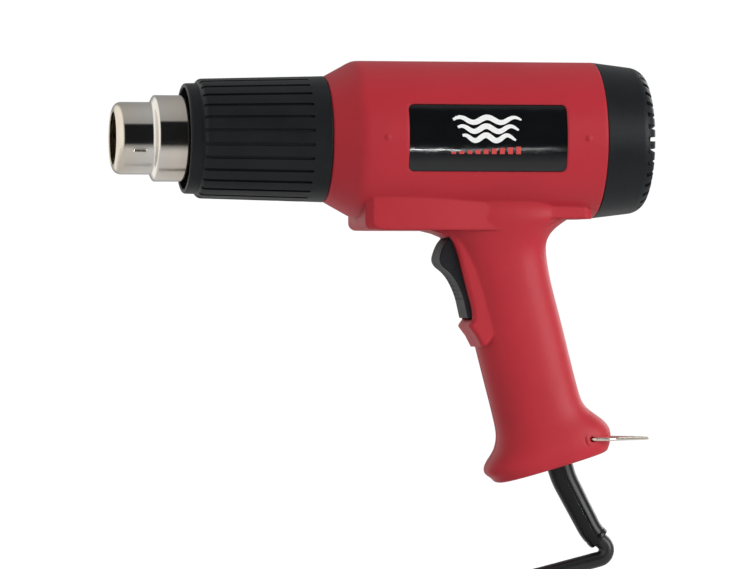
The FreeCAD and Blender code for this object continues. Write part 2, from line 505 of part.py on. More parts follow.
WIRE_SIDES = 8
def coil(x0, turns, pitch, r, wr):
    """Resistance wire wound over the six board edges: straight runs, mitred where they turn over an edge."""
    pts = []
    for j in range(6 * turns + 1):
        a = math.radians(BOARD_TURN + 60 * j)
        pts.append(V(x0 + pitch * j / 6.0, r * math.cos(a), r * math.sin(a)))
    dirs = [pts[i + 1].sub(pts[i]).normalize() for i in range(len(pts) - 1)]
    side = dirs[0].cross(V(1, 0, 0)).normalize()
    up = dirs[0].cross(side).normalize()
    ring_pts = [pts[0].add(V(side).multiply(wr * math.cos(2 * math.pi * k / WIRE_SIDES))).add(V(up).multiply(wr * math.sin(2 * math.pi * k / WIRE_SIDES)))
                for k in range(WIRE_SIDES)]
    rings = [ring_pts]
    for i in range(1, len(pts)):
        nrm = dirs[i - 1] if i == len(pts) - 1 else dirs[i - 1].add(dirs[i]).normalize()
        d = dirs[i - 1]
        nxt = []
        for q in rings[-1]:
            t = pts[i].sub(q).dot(nrm) / d.dot(nrm)
            nxt.append(q.add(V(d).multiply(t)))
        rings.append(nxt)
    faces = [Part.Face(Part.makePolygon(rings[0] + [rings[0][0]])), Part.Face(Part.makePolygon(rings[-1] + [rings[-1][0]]))]
    for i in range(len(rings) - 1):
        for k in range(WIRE_SIDES):
            n = (k + 1) % WIRE_SIDES
            faces.append(Part.Face(Part.makePolygon([rings[i][k], rings[i][n], rings[i + 1][n], rings[i + 1][k], rings[i][k]])))
    shell = Part.makeShell(faces)
    shell.sewShape()
    solid = Part.Solid(shell)
    if solid.Volume < 0:
        solid.reverse()
    return solid
out("heater_coil_front", coil(12.0, 8, 4.75, 14.15, 0.5))
out("heater_coil_rear", coil(56.0, 8, 4.75, 14.15, 0.5))

base = ring(15.3, 19.5, 100.0, 104.0)
for k in range(3):
    base = base.fuse(turned(box(100.0, 104.0, -1.6, 1.6, 0, 16.5), 48 + 120 * k))
base = base.fuse(xcyl(3.2, 100.0, 104.0))
term_ang = [-68, -112]
for a in term_ang:
    base = base.cut(xcyl(1.0, 99, 105, 17.5 * math.cos(math.radians(a)), 17.5 * math.sin(math.radians(a))))
out("heater_base", base)
out("heater_terminals", Part.makeCompound([
    xcyl(1.0, 97.5, 108.0, 17.5 * math.cos(math.radians(a)), 17.5 * math.sin(math.radians(a))) for a in term_ang]))
tc = turned(Part.makeCylinder(2.4, 2.6, V(96.2, 8.2, 0), V(1, 0, 0)).fuse(Part.makeCylinder(1.5, 1.4, V(94.9, 8.2, 0), V(1, 0, 0))), 48 + 60)
out("thermal_cutout", tc)
insr = ring(20.5, 27.0, TUBE_END_X, 109.5)
for a in screw_ang:
    insr = insr.cut(xcyl(1.5, 100, 112, 24.4 * math.cos(math.radians(a)), 24.4 * math.sin(math.radians(a))))
out("insulation_ring", insr)

# ---------------- fan housing, motor, impeller ----------------
fh = rev_poly([(109.5, 19.9), (109.5, 27.0), (114.6, 27.0), (114.6, 22.3), (126.0, 25.5), (140.0, 32.5), (188.5, 32.5), (188.5, 30.9),
               (141.0, 30.9), (127.0, 23.9), (114.6, 20.2)])
hub = revolve([seg((140.0, 0), (162.0, 0)), seg((162.0, 0), (162.0, 13.0)), seg((162.0, 13.0), (152.0, 13.0)),
               bez((152.0, 13.0), (144.0, 12.6), (140.0, 7.0), (140.0, 0))])
parts_fh = [hub]
for k in range(7):
    parts_fh.append(turned(box(146.0, 161.0, -0.7, 0.7, 12.0, 31.6), 360.0 * k / 7 + 12))
parts_fh.append(ring(8.0, 14.6, 185.5, 188.5))
for k in range(4):
    parts_fh.append(turned(box(185.5, 188.5, -2.0, 2.0, 13.5, 31.6), 45 + 90 * k))
holes_fh = []
for a in screw_ang:
    y, z = 24.4 * math.cos(math.radians(a)), 24.4 * math.sin(math.radians(a))
    holes_fh.append(xcyl(1.4, 109.0, 114.0, y, z))
for y in (6.5, -6.5):
    holes_fh.append(cyl(1.7, (117.0, y, -17.0), (0.5, 0, -1), 14))
for a in (0, 180):
    holes_fh.append(xcyl(1.5, 184, 190, 11.0 * math.cos(math.radians(a)), 11.0 * math.sin(math.radians(a))))
fh = fh.multiFuse(parts_fh)
for h in holes_fh:
    fh = fh.cut(h)
out("fan_housing", biggest(fh))

can = ring(13.0, 14.0, 189.5, 221.0).fuse(ring(3.0, 14.0, 188.5, 189.7)).fuse(ring(3.0, 4.6, 186.8, 189.0))
for a in (0, 180):
    can = can.cut(xcyl(1.3, 187, 190.2, 11.0 * math.cos(math.radians(a)), 11.0 * math.sin(math.radians(a))))
out("motor_can", can)
endcap = ring(2.6, 13.9, 221.0, 224.0).fuse(ring(2.6, 4.8, 224.0, 226.0)).fuse(ring(12.2, 12.95, 218.5, 221.4))
out("motor_end_cap", endcap)
mags = []
for s in (0, 180):
    m = ring(9.8, 12.9, 192.0, 216.0).common(box(180, 230, -20, 20, 2.6, 20))
    mags.append(turned(m, s))
out("motor_magnets", Part.makeCompound(mags))
out("motor_bushes", Part.makeCompound([ring(1.2, 3.0, 186.8, 190.0), ring(1.2, 2.6, 221.5, 226.0)]))
out("motor_screws", Part.makeCompound([screw_x(11.0 * c, 0.0, 185.5, 191.5, 1, 2.3, 1.2, 1.2) for c in (1, -1)]))
out("motor_shaft", xcyl(1.15, 163.5, 227.0))
lam = ring(1.15, 9.3, 195.0, 213.0)
for k in range(5):
    lam = lam.cut(turned(box(194, 214, -1.0, 1.0, 6.9, 12), 72 * k)).cut(turned(xcyl(2.0, 194, 214, 0, 5.9), 72 * k))
out("armature_core", biggest(lam))
wnd = ring(3.0, 8.2, 191.4, 194.9).fuse(ring(3.0, 8.2, 213.1, 216.2))
out("armature_windings", Part.makeCompound(ring(3.0, 8.2, 191.4, 195.0).Solids + ring(3.0, 8.2, 213.0, 216.4).Solids))
com = ring(1.15, 3.4, 217.0, 220.6)
for k in range(5):
    com = com.cut(turned(box(216, 221.5, -0.2, 0.2, 2.9, 4), 72 * k))
out("commutator", com)
out("brush_springs", Part.makeCompound([box(217.4, 220.2, -11.0, -10.4, -1.8, 1.8).fuse(box(217.8, 219.8, -10.6, -3.45, -0.8, 0.8)),
                                        box(217.4, 220.2, 10.4, 11.0, -1.8, 1.8).fuse(box(217.8, 219.8, 3.45, 10.6, -0.8, 0.8))]))

imp = ring(1.15, 8.6, 168.0, 182.0)
imp = imp.fuse(revolve([seg((165.0, 1.15), (168.2, 1.15)), seg((168.2, 1.15), (168.2, 8.6)), bez((168.2, 8.6), (166.6, 8.2), (165.0, 5.0), (165.0, 1.15))]))
for k in range(9):
    def bl(r, pitch, half, th):
        a = math.radians(pitch)
        cxx, cyy = math.cos(a), math.sin(a)
        x0 = 175.0
        p = [(-half, -th), (half, -th * 0.5), (half, th * 0.5), (-half, th)]
        pts = [V(x0 + u * cxx - v * cyy, u * cyy + v * cxx, r) for u, v in p]
        return Part.makePolygon(pts + [pts[0]])
    blade = Part.makeLoft([bl(7.8, 38, 6.6, 0.8), bl(18.0, 50, 7.4, 0.65), bl(29.6, 60, 8.0, 0.5)], True, True)
    imp = imp.fuse(turned(blade, 40.0 * k))
out("fan_impeller", biggest(imp))

# ---------------- suppression board on the motor ----------------
pcb = xcyl(12.5, 227.6, 229.2).cut(xcyl(1.7, 220, 235))
out("rectifier_board", pcb)
out("rectifier_diodes", Part.makeCompound([Part.makeCylinder(1.35, 5.0, V(230.6, y, z), V(0, 0, 1)).fuse(
    Part.makeCylinder(0.4, 7.2, V(230.6, y, z - 1.1), V(0, 0, 1))).fuse(box(229.2, 230.7, y - 0.35, y + 0.35, z - 1.1, z - 0.5)).fuse(
    box(229.2, 230.7, y - 0.35, y + 0.35, z + 5.5, z + 6.1)) for y in (-8.0, -4.6, 4.6, 8.0) for z in (-2.5,)]))
capd = Part.makeCylinder(3.6, 2.6, V(233.6, -1.3, 7.8), V(0, 1, 0))
capd = try_fillet(capd, 1.0, lambda e: e.Length > 15)
capd = capd.fuse(box(229.2, 231.4, -0.3, 0.3, 6.2, 6.8)).fuse(box(229.2, 231.4, -0.3, 0.3, 8.8, 9.4))
out("suppression_capacitor", capd)
out("board_posts", Part.makeCompound([box(224.0, 227.6, s * 8.0 - 1.2, s * 8.0 + 1.2, -0.4, 0.4) for s in (-1, 1)]))

# ---------------- rocker switch ----------------
front = [(160.0, -45.75), (157.6, -49.6), (155.6, -54.2), (155.1, -57.6), (156.3, -60.1), (159.3, -62.7), (162.4, -66.3), (164.9, -71.0), (166.6, -75.6), (167.8, -80.6), (168.6, -84.2)]
def to_local(x, z):
    t = math.radians(ROCKER_TILT_DEG)
    dx, dz = x - PIVOT[0], z - PIVOT[1]
    return (dx * math.cos(t) + dz * math.sin(t), -dx * math.sin(t) + dz * math.cos(t))
top_r, bot_r = 23.1, 16.9
fl_pts = [to_local(*p) for p in front]
# clamp the two ends on their arcs
fl_pts[0] = (fl_pts[0][0], math.sqrt(top_r ** 2 - fl_pts[0][0] ** 2))
fl_pts[-1] = (fl_pts[-1][0], -math.sqrt(bot_r ** 2 - fl_pts[-1][0] ** 2))
def lp(u, w, y=0.0):
    x, z = local(u, w)
    return V(x, y, z)
def rocker_outline(y, d=0.0):
    b = Part.BSplineCurve()
    b.interpolate([lp(u + d, w, y) for (u, w) in fl_pts])
    a0, a1 = fl_pts[0], (2.2, math.sqrt(top_r ** 2 - 2.2 ** 2))
    c0, c1 = fl_pts[-1], (1.6, -math.sqrt(bot_r ** 2 - 1.6 ** 2))
    mid_t = ((a0[0] + a1[0]) / 2, math.sqrt(top_r ** 2 - ((a0[0] + a1[0]) / 2) ** 2))
    mid_b = ((c0[0] + c1[0]) / 2, -math.sqrt(bot_r ** 2 - ((c0[0] + c1[0]) / 2) ** 2))
    arc_t = Part.Arc(lp(a0[0], a0[1], y), lp(mid_t[0], mid_t[1], y), lp(a1[0], a1[1], y)).toShape()
    arc_b = Part.Arc(lp(c0[0], c0[1], y), lp(mid_b[0], mid_b[1], y), lp(c1[0], c1[1], y)).toShape()
    back = [(a1[0], a1[1]), (4.2, 6.0), (4.6, 0.0), (4.0, -5.0), (c1[0], c1[1])]
    bk = [Part.makeLine(lp(back[i][0], back[i][1], y), lp(back[i + 1][0], back[i + 1][1], y)) for i in range(4)]
    return [b.toShape(), arc_t, arc_b] + bk
w = Part.Wire(Part.__sortEdges__(rocker_outline(-ROCKER_HALF_W)))
rocker = Part.Face(w).extrude(V(0, 2 * ROCKER_HALF_W, 0))
rocker = try_fillet(rocker, 0.9, lambda e: e.BoundBox.YLength < 0.01 and e.BoundBox.ZLength > 30 and e.BoundBox.XMin < 156)
# hollow behind the face
hol_u = [(u + 2.0, w_) for (u, w_) in fl_pts[1:-1]]
hol_pts = [hol_u[0][:1] + (20.6,)] + hol_u[1:-1] + [(hol_u[-1][0], -14.6), (14, -14.6), (14, 20.6)]
hol = prism_y([local(u, w_) for (u, w_) in hol_pts], -8.9, 8.9)
rocker = rocker.cut(hol)
# central web that carries the plunger
web = prism_y([local(-8.0, 12.5), local(-6.0, -2.5), local(3.6, -2.5), local(3.6, 3.4), local(-2.0, 12.5)], -3.6, 3.6)
body_prism = Part.Face(w).extrude(V(0, 2 * ROCKER_HALF_W, 0))
rocker = rocker.fuse(web.common(body_prism))
bore_ax = cyl(AXLE_R + 0.05, (PIVOT[0], -20, PIVOT[1]), (0, 1, 0), 40)
rocker = rocker.cut(bore_ax)
# knurl lines across the lower finger scoop
for kk in range(7):
    s = 5.8 - kk * 2.1
    fx = [p for p in fl_pts]
    # point on the face at this height by linear interpolation
    for i in range(len(fx) - 1):
        if fx[i][1] >= s >= fx[i + 1][1]:
            q = (fx[i][1] - s) / (fx[i][1] - fx[i + 1][1])
            uu = fx[i][0] + q * (fx[i + 1][0] - fx[i][0])
    c = local(uu, s)
    rocker = rocker.cut(cyl(0.35, (c[0], -8.2, c[1]), (0, 1, 0), 16.4))
rocker = rocker.cut(cyl(1.25, (local(0.9, 0)[0], 0, local(0.9, 0)[1]), (math.cos(tilt_line), 0, math.sin(tilt_line)), 8)) if False else rocker
out("rocker", biggest(rocker))
out("rocker_axle", cyl(AXLE_R, (PIVOT[0], -9.9, PIVOT[1]), (0, 1, 0), 19.8))

def lbox(u0, u1, w0, w1, y0, y1):
    return prism_y([local(u0, w0), local(u1, w0), local(u1, w1), local(u0, w1)], y0, y1)
sw = lbox(12.4, 26.0, -18.0, 17.0, -9.6, 9.6)
sw = sw.fuse(lbox(6.4, 12.6, -18.0, -7.0, -8.2, 8.2))
for s in (-1, 1):
    y0, y1 = (6.2, 8.2) if s > 0 else (-8.2, -6.2)
    ear = lbox(0.0, 13.0, -2.2, 2.2, y0, y1).fuse(cyl(2.2, (PIVOT[0], y0, PIVOT[1]), (0, 1, 0), 2.0))
    sw = sw.fuse(ear)
sw = sw.cut(cyl(AXLE_R, (PIVOT[0], -20, PIVOT[1]), (0, 1, 0), 40))
sw = try_fillet(sw, 0.6, lambda e: abs(e.Length - 13.6) < 0.05)
out("switch_body", biggest(sw))
leaf = cyl(10.2, (PIVOT[0], -2.5, PIVOT[1]), (0, 1, 0), 5.0).cut(cyl(9.62, (PIVOT[0], -3, PIVOT[1]), (0, 1, 0), 6.0))
leaf = leaf.common(prism_y([local(0, 0), local(14, 3.2), local(14, -8.6)], -4, 4)).fuse(lbox(10.0, 12.4, -0.8, 0.8, -2.5, 2.5))
out("contact_leaf", leaf)
out("switch_terminals", Part.makeCompound([lbox(26.0, 31.0, w0 - 0.4, w0 + 0.4, -3.1, 3.1) for w0 in (-13.0, -5.0, 3.0, 11.0)]))
# plunger and spring ride in the rocker's web, working along the switch's depth
pl = Part.makeCylinder(1.6, 3.2, lp(4.0, 0.6), V(math.cos(tilt_line), 0, math.sin(tilt_line)))
out("switch_plunger", Part.makeCylinder(1.5, 4.4, lp(3.6, 0.6), V(math.cos(tilt_line), 0, math.sin(tilt_line))).fuse(Part.makeSphere(1.5, lp(8.0, 0.6))))

# ---------------- hanging loop ----------------
# one wire bent as a narrow closed stirrup, its ends meeting in the far arm
hw0, tip = 17.6, HANG_LENGTH - HANG_WIRE_R
apex = tip + 1.6
def unit(p, q):
    d = math.hypot(q[0] - p[0], q[1] - p[1])
    return ((q[0] - p[0]) / d, (q[1] - p[1]) / d)
def bend(p, q, r_, rad):
    u, w_ = unit(q, p), unit(q, r_)
    ang = math.acos(u[0] * w_[0] + u[1] * w_[1])
    tl = rad / math.tan(ang / 2.0)
    a_ = (q[0] + u[0] * tl, q[1] + u[1] * tl)
    c_ = (q[0] + w_[0] * tl, q[1] + w_[1] * tl)
    bis = unit((0, 0), (u[0] + w_[0], u[1] + w_[1]))
    cd = rad / math.sin(ang / 2.0)
    m_ = (q[0] + bis[0] * (cd - rad), q[1] + bis[1] * (cd - rad))
    return a_, m_, c_
hw0 = 17.9
A, B, C = (0.0, -hw0), (0.0, hw0), (apex, 0.0)
B2, A2 = (10.5, hw0 - 1.2), (10.5, -(hw0 - 1.2))
def h3(p):
    return V(HANG_X + p[0], p[1], HANG_Z)
c1 = bend(B2, C, A2, 1.3)
c2 = bend(C, A2, A, 9.0)
c3 = bend(A2, A, B, 2.0)
c4 = bend(A, B, B2, 2.0)
c5 = bend(B, B2, C, 9.0)
armd = unit(B2, C)
def on_arm(x):
    f = (x - B2[0]) / armd[0]
    return (B2[0] + armd[0] * f, B2[1] + armd[1] * f)
def arc3(c):
    return Part.Arc(h3(c[0]), h3(c[1]), h3(c[2])).toShape()
le = [Part.makeLine(h3(on_arm(17.3)), h3(c1[0])), arc3(c1), Part.makeLine(h3(c1[2]), h3(c2[0])), arc3(c2),
      Part.makeLine(h3(c2[2]), h3(c3[0])), arc3(c3), Part.makeLine(h3(c3[2]), h3(c4[0])), arc3(c4),
      Part.makeLine(h3(c4[2]), h3(c5[0])), arc3(c5), Part.makeLine(h3(c5[2]), h3(on_arm(17.0)))]
lw = Part.Wire(le)
loop = lw.makePipeShell([Part.Wire([Part.makeCircle(HANG_WIRE_R, h3(on_arm(17.3)), V(armd[0], armd[1], 0))])], True, True)
out("hang_loop", loop)

# ---------------- cord, boot, plug ----------------
sheath = route(CORD_LINE, CORD_R, CORD_BENDS)
boot = route(BOOT_LINE, BOOT_R, BOOT_BENDS)
boot = boot.fuse(Part.makeCylinder(8.6, 2.6, V(*BOOT_TOP), grip_dir))
boot_dir = V(*BOOT_END).sub(V(*KNEE_2)).normalize()
boot = boot.fuse(Part.makeCylinder(BOOT_R + 0.45, 1.6, V(*BOOT_END).sub(V(boot_dir).multiply(1.6)), boot_dir))
boot = boot.cut(sheath)
out("cord_boot", biggest(boot))
out("cord_sheath", biggest(sheath))
for nm, yy in (("live_core", -1.75), ("neutral_core", 1.75)):
    t = V(*CORD_TOP).sub(V(grip_dir).multiply(0.05))
    out(nm, route([(t.x, yy, t.z), (205.4, yy, -119.4), (201.0, yy, -97.0), (201.0 + (1.0 if yy > 0 else 0.0), yy, -81.0)], 1.2, 14.0))

cb = [clampc[0], clampc[1]]
th = math.radians(16.2)
def cpt(a, b):
    return (cb[0] + a * math.cos(th) - b * math.sin(th) * -1 * -1, cb[1] + a * math.sin(th) + b * math.cos(th))
clamp = prism_y([cpt(-11.6, -2.6), cpt(11.6, -2.6), cpt(11.6, 2.6), cpt(-11.6, 2.6)], -4.1, -1.2)
clamp = clamp.fuse(prism_y([cpt(-6.2, -2.6), cpt(6.2, -2.6), cpt(6.2, 2.6), cpt(-6.2, 2.6)], -1.3, 5.6))
clamp = clamp.cut(Part.makeCylinder(CORD_R + 0.02, 24, V(*CORD_TOP), grip_dir)).cut(prism_y([cpt(-3.8, -3), cpt(3.8, -3), cpt(3.8, 3), cpt(-3.8, 3)], -5, 0.0))
for s in (-1, 1):
    q = cpt(8.6 * s, 0)
    clamp = clamp.cut(cyl(1.5, (q[0], -6, q[1]), (0, 1, 0), 12))
out("cord_clamp", biggest(clamp))
out("clamp_screws", Part.makeCompound([screw_y(cpt(8.6 * s, 0)[0], cpt(8.6 * s, 0)[1], -1.2, -11.0, 2.4, 1.6, 1.15) for s in (-1, 1)]))

# moulded two-pin plug
px0, px1 = 66.0, 104.0
pz = -214.0
ws = []
for (x, hwy, hh, n) in [(px0, 16.6, 7.2, 4.0), (px0 + 0.8, 17.6, 7.9, 4.0), (px0 + 14, 18.0, 8.0, 3.6), (px0 + 26, 15.0, 7.6, 3.2), (px1 - 3, 9.4, 6.6, 2.6), (px1 + 6, 5.8, 5.6, 2.1), (px1 + 16, 5.0, 5.0, 2.0)]:
    p = []
    for i in range(24):
        a = 2 * math.pi * i / 24
        c, s = math.cos(a), math.sin(a)
        p.append(V(x, hwy * math.copysign(abs(c) ** (2.0 / n), c), pz + hh * math.copysign(abs(s) ** (2.0 / n), s)))
    b = Part.BSplineCurve(); b.interpolate(Points=p, PeriodicFlag=True)
    ws.append(Part.Wire([b.toShape()]))
plug = Part.makeLoft(ws, True, False)
plug = plug.cut(xcyl(CORD_R, 112.0, 140.0, 0, pz))
for s in (-1, 1):
    plug = plug.cut(xcyl(1.9, px0 - 1, px0 + 12, s * PIN_PITCH / 2, pz))
out("plug_body", biggest(plug))
pins = []
for s in (-1, 1):
    p = xcyl(PIN_R, px0 - PIN_LEN + 1.2, px0, s * PIN_PITCH / 2, pz).fuse(xcyl(1.9, px0, px0 + 12, s * PIN_PITCH / 2, pz))
    p = p.fuse(Part.makeCone(PIN_R - 1.0, PIN_R, 1.2, V(px0 - PIN_LEN, s * PIN_PITCH / 2, pz), V(1, 0, 0)))
    pins.append(p)
out("plug_pins", Part.makeCompound(pins))

# ---------------- internal leads ----------------
hl, ml = [], []
for s in (-1, 1):
    y = 6.5 * s
    hl.append(route([(108.2, y, -16.25), (117.2, y, -16.9), (121.6, y, -26.2), (129.2, y, -31.6), (135.2, y, -37.5), (166.0, y * 0.9, -38.5), (195.0, y * 0.5, -41.9), (197.0, y * 0.5, -46.6)], 0.9, 2.2))
    y = 4.2 * s
    ml.append(route([(230.3, y, -9.0), (231.0, y, -18.6), (224.5, y, -24.2), (213.4, y, -26.4), (203.5, y * 0.8, -39.5), (199.2, y * 0.6, -46.2)], 0.8, 2.2))
out("heater_leads", Part.makeCompound(hl))
out("motor_leads", Part.makeCompound(ml))
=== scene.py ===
"""A hot-air gun with its cord and plug on a pale floor.

The barrel lies along X with its nozzle at the low end, the grip hangs down -Z and the viewer
stands on the -Y side. The cord leaves the grip and runs back below the barrel to the plug.
"""
import bpy
import bmesh
import math
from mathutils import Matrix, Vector

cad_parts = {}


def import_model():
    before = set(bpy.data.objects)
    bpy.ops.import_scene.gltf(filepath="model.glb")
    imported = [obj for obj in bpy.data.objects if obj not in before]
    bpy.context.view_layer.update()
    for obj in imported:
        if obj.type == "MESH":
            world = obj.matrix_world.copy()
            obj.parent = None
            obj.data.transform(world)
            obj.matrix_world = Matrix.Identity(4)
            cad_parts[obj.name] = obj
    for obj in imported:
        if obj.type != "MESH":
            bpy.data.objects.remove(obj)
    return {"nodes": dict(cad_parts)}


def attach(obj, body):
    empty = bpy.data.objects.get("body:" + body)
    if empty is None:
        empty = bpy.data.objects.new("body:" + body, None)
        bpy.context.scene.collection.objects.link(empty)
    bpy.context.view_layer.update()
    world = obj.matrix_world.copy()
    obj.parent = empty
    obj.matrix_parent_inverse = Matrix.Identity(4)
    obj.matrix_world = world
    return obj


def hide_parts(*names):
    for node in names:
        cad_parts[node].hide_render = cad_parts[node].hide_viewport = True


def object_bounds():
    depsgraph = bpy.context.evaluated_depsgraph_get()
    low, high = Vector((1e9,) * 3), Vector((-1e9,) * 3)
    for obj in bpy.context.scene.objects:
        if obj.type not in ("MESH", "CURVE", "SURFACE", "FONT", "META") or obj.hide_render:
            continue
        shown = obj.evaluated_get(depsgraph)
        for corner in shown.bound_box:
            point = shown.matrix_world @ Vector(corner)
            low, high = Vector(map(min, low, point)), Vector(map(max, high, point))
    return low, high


MM = 0.001  # shapes below are in millimetres; the stage, lights and camera are in metres

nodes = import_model()["nodes"]
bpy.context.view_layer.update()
scene = bpy.context.scene


# ------------------------------------------------------------------ shader graph helpers
class Graph:
    """The shader nodes of one material or world."""

    def __init__(self, owner):
        owner.use_nodes = True
        self.tree = owner.node_tree
        self.tree.nodes.clear()

    def feed(self, socket, value):
        if isinstance(value, bpy.types.NodeSocket):
            self.tree.links.new(value, socket)
        else:
            socket.default_value = value

    def add(self, kind, output, *by_index, **by_name):
        """Add a node and return one output. A name is an input (with _ for space) or a property."""
        made = self.tree.nodes.new("ShaderNode" + kind)
        for key, value in by_name.items():
            label = key.replace("_", " ")
            if label in made.inputs.keys():
                self.feed(made.inputs[label], value)
            else:
                setattr(made, key, value)
        for i, value in enumerate(by_index):
            self.feed(made.inputs[i], value)
        return made.outputs[output]

    def math(self, operation, *values):
        return self.add("Math", 0, *values, operation=operation)

    def noise(self, **settings):
        return self.add("TexNoise", "Fac", **settings)

    def smooth(self, value, low, high):
        return self.add("MapRange", "Result", interpolation_type="SMOOTHSTEP",
                        From_Min=low, From_Max=high, Value=value)

    def ramp(self, fac, stops):
        """A colour ramp through (position, rgb) stops."""
        color = self.add("ValToRGB", "Color", Fac=fac)
        elements = color.node.color_ramp.elements
        for element, (position, rgb) in zip(elements, (stops[0], stops[-1])):
            element.position, element.color = position, (*rgb, 1)
        for position, rgb in stops[1:-1]:
            elements.new(position).color = (*rgb, 1)
        return color

    def surface(self, kind, shader):
        self.feed(self.tree.nodes.new(kind).inputs["Surface"], shader)


def grey(value):
    return (value, value, value)


# ------------------------------------------------------------------ layered material
def colour_layers(graph, place, base, mottle, tint, dust):
    cloud_scale, swing = mottle
    clouds = graph.noise(Vector=place, Scale=cloud_scale, Detail=5.0, Roughness=0.6)
    dark = tuple(max(0.0, c * (1 - swing)) for c in base)
    light = tuple(min(1.0, c * (1 + swing)) for c in base)
    color = graph.ramp(clouds, [(0.3, dark), (0.7, light)])
    if tint:  # colour multiplied in by place along the barrel, with a wavering edge
        along = graph.add("SeparateXYZ", "X", Vector=place)
        waver = graph.noise(Vector=place, Scale=35.0, Detail=3.0)
        wavering = graph.math("MULTIPLY_ADD", waver, 0.004, along)
        x0, x1 = tint[0][0], tint[-1][0]
        share = graph.add("MapRange", "Result", From_Min=x0, From_Max=x1, Value=wavering)
        tinting = graph.ramp(share, [((x - x0) / (x1 - x0), rgb) for x, rgb in tint])
        color = graph.add("Mix", "Result", data_type="RGBA", blend_type="MULTIPLY",
                          Factor=1.0, A=color, B=tinting)
    if dust:
        specks = graph.noise(Vector=place, Scale=900.0, Detail=4.0, Roughness=0.7)
        cover = graph.ramp(specks, [(0.62, grey(0.0)), (0.75, grey(dust))])
        color = graph.add("Mix", "Result", data_type="RGBA",
                          Factor=cover, A=color, B=(0.45, 0.43, 0.40, 1))
    return color


def roughness_layers(graph, place, rough, rough_var, scratch):
    cloud_scale, swing = rough_var
    clouds = graph.noise(Vector=place, Scale=cloud_scale, Detail=6.0, Roughness=0.65)
    roughness = graph.add("MapRange", "Result", Value=clouds, From_Min=0.3, From_Max=0.7,
                          To_Min=max(0.02, rough * (1 - swing)),
                          To_Max=min(1.0, rough * (1 + swing)))
    if scratch:
        lines = graph.add("Mapping", "Vector", Vector=place,
                          Rotation=(0.4, 0.9, 0.3), Scale=(60, 1400, 60))
        marks = graph.noise(Vector=lines, Scale=1.0, Detail=2.0)
        marks = graph.ramp(marks, [(0.66, grey(0.0)), (0.72, grey(1.0))])
        roughness = graph.math("MULTIPLY_ADD", marks, scratch, roughness)
    return roughness


def normal_layers(graph, place, grain, lump, streak, bevel):
    grain_scale, grain_height, depth = grain
    fine = graph.noise(Vector=place, Scale=grain_scale, Detail=3.0, Roughness=0.55)
    cells = graph.add("TexVoronoi", "Distance", feature="SMOOTH_F1",
                      Vector=place, Scale=grain_scale * 0.45)
    layers = [(fine, grain_height), (cells, grain_height * 0.6)]
    if lump:
        layers.append((graph.noise(Vector=place, Scale=lump[0], Detail=2.0), lump[1]))
    if streak:
        lines = graph.add("Mapping", "Vector", Vector=place, Scale=streak[0])
        lines = graph.noise(Vector=lines, Scale=1.0, Detail=4.0, Roughness=0.7)
        layers.append((lines, streak[1]))
    height = None
    for layer, weight in layers:
        part = graph.math("MULTIPLY", layer, weight)
        height = graph.math("ADD", height, part) if height else part
    bump = {"Strength": 1.0, "Distance": depth, "Height": height}
    if bevel:
        bump["Normal"] = graph.add("Bevel", "Normal", samples=4, Radius=bevel)
    return graph.add("Bump", "Normal", **bump)


def material(name, base, rough, metal=0.0, spec=0.5, coat=0.0, coat_rough=0.08, sheen=0.0,
             grain=(2600, 0.25, 0.00005), lump=None, streak=None, bevel=0.00025,
             mottle=(45, 0.10), tint=None, dust=0.0, rough_var=(70, 0.12), scratch=0.0):
    """A surface with uneven colour, roughness and relief.

    grain      noise scale, height, and the bump depth of all relief in metres
    lump       noise scale, height of soft waviness
    streak     (x, y, z) noise scales, height of drawn or turned lines
    bevel      radius of the rounded edges in metres
    mottle     noise scale, share the base colour swings by
    tint       (x in metres, colour) stops along the barrel
    dust       strongest cover of the dust specks
    rough_var  noise scale, share the roughness swings by
    scratch    roughness added in fine scratches
    """
    made = bpy.data.materials.new(name)
    graph = Graph(made)
    place = graph.add("TexCoord", "Object")
    shader = graph.add(
        "BsdfPrincipled", "BSDF",
        Base_Color=colour_layers(graph, place, base, mottle, tint, dust),
        Roughness=roughness_layers(graph, place, rough, rough_var, scratch),
        Normal=normal_layers(graph, place, grain, lump, streak, bevel),
        Metallic=metal, Specular_IOR_Level=spec, Sheen_Weight=sheen,
        Coat_Weight=coat, Coat_Roughness=coat_rough)
    graph.surface("ShaderNodeOutputMaterial", shader)
    return made


def dress(pieces, name, base, **look):
    """Make a material and give it to the named CAD pieces."""
    made = material(name, base, **look)
    for piece in pieces.split():
        slots = nodes[piece].data.materials
        slots.clear()
        slots.append(made)
    return made


# ------------------------------------------------------------------ housing and barrel
dress("left_housing right_housing", "moulded red shell", (0.415, 0.0185, 0.030),
      rough=0.45, spec=0.26, grain=(3200, 0.55, 0.00006), mottle=(30, 0.05),
      rough_var=(45, 0.10), lump=(28, 0.8), bevel=0.0020, dust=0.012)
dress("front_sleeve rear_cap", "moulded black sleeve", (0.0062, 0.0078, 0.0092),
      rough=0.42, spec=0.20, grain=(3000, 0.5, 0.00006), mottle=(60, 0.18),
      rough_var=(60, 0.12), bevel=0.0004, dust=0.012)
dress("label_plate", "gloss black plate", (0.0045, 0.005, 0.006),
      rough=0.125, spec=0.35, coat=0.25, coat_rough=0.04, grain=(1200, 0.10, 0.00003),
      lump=(95, 6.5), mottle=(80, 0.15), rough_var=(120, 0.35), bevel=0.0002, scratch=0.12)
dress("rating_plate", "blank silver film", (0.50, 0.50, 0.51),
      rough=0.38, metal=0.6, grain=(1800, 0.2, 0.00003), streak=((20, 20, 2500), 0.3),
      rough_var=(90, 0.2), bevel=0.0001, scratch=0.15)
